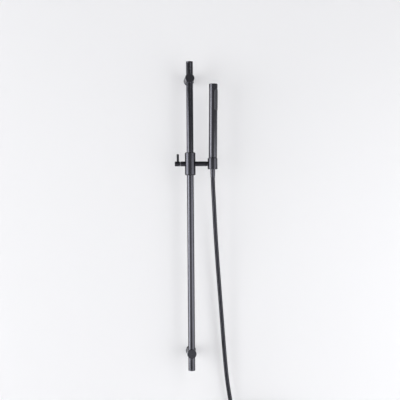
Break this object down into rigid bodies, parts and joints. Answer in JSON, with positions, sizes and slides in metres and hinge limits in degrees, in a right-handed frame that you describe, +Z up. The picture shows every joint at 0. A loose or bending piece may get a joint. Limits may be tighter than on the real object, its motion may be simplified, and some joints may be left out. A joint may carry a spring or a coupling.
{
  "type": "shower slide rail",
  "caption": "Dark satin wall rail on round posts with a lever-locked slider, a tilting conical holder, a slim stick handset and a smooth black hose with its spare length coiled.",
  "frame": {"origin": "on the wall plane, midway between the two wall fixings", "axes": "+Z up along the rail, +Y into the wall, +X to the right as seen from the room"},
  "size_m": [0.3303, 0.0705, 1.1683],
  "materials": {
    "gunmetal_steel": "stainless tube with a satin gunmetal coating",
    "gunmetal_brass": "turned brass with a satin gunmetal coating",
    "plain_brass": "plain turned brass",
    "steel_fasteners": "plain stainless steel",
    "black_nylon": "turned nylon",
    "spray_face": "moulded satin plastic",
    "grey_silicone": "moulded silicone",
    "water_plastic": "moulded plastic",
    "seal_rubber": "moulded rubber",
    "hose_sleeve_metal": "drawn brass with a dark satin coating",
    "hose_skin": "smooth satin black hose skin",
    "strap": "woven black strap"
  },
  "bodies": {
    "rail": {"rail_tube": "gunmetal_steel", "top_end_cap": "gunmetal_brass", "bottom_end_cap": "gunmetal_brass", "upper_post": "gunmetal_brass", "lower_post": "gunmetal_brass", "upper_rose": "gunmetal_brass", "lower_rose": "gunmetal_brass", "upper_wall_hub": "plain_brass", "lower_wall_hub": "plain_brass", "hub_grub_screws": "steel_fasteners", "rail_grub_screws": "steel_fasteners"},
    "carriage": {"upper_rail_bush": "black_nylon", "lower_rail_bush": "black_nylon"},
    "slider": {"slider_sleeve": "gunmetal_brass", "lock_neck": "gunmetal_brass", "holder_arm": "gunmetal_brass", "pivot_washer": "black_nylon", "pivot_screw": "steel_fasteners", "spring_washer": "steel_fasteners", "hose_tube": "hose_skin", "hose_coil": "hose_skin", "coil_tie": "strap", "outlet_sleeve": "hose_sleeve_metal", "outlet_tail": "plain_brass", "outlet_nut": "gunmetal_brass", "outlet_seal": "seal_rubber"},
    "pad": {"brake_pad": "black_nylon"},
    "lever": {"lock_spindle": "steel_fasteners", "lock_knob": "gunmetal_brass", "lever_pin": "gunmetal_brass"},
    "holder": {"handset_holder": "gunmetal_brass", "handset_body": "gunmetal_brass", "spray_plate": "spray_face", "nozzle_mat": "grey_silicone", "water_liner": "water_plastic", "handset_cap": "gunmetal_brass", "cap_seal": "seal_rubber", "handset_inlet": "plain_brass", "flow_regulator": "water_plastic", "cone_nut": "gunmetal_brass", "hose_seal": "seal_rubber", "hose_tail": "plain_brass", "hose_sleeve": "hose_sleeve_metal"}
  },
  "joints": [
    {"name": "height_slide", "type": "slide", "parent": "rail", "child": "carriage", "axis": [0, 0, 1], "range_m": [-0.504, 0.2]},
    {"name": "rail_swivel", "type": "hinge", "parent": "carriage", "child": "slider", "pos_m": [0, -0.055, 0.152], "axis": [0, 0, 1], "range_deg": [-110, 35]},
    {"name": "holder_tilt", "type": "hinge", "parent": "slider", "child": "holder", "pos_m": [0.049, -0.055, 0.152], "axis": [1, 0, 0], "range_deg": [-10, 60], "deforming": ["hose_tube"]},
    {"name": "pad_release", "type": "slide", "parent": "slider", "child": "pad", "axis": [-1, 0, 0], "range_m": [0, 0.000333]},
    {"name": "lock_turn", "type": "hinge", "parent": "pad", "child": "lever", "pos_m": [-0.036, -0.055, 0.152], "axis": [1, 0, 0], "range_deg": [-120, 0]}
  ],
  "couplings": [
    {"joint": "lock_turn", "follows": "pad_release", "rad_per_m": -6283.2}
  ]
}
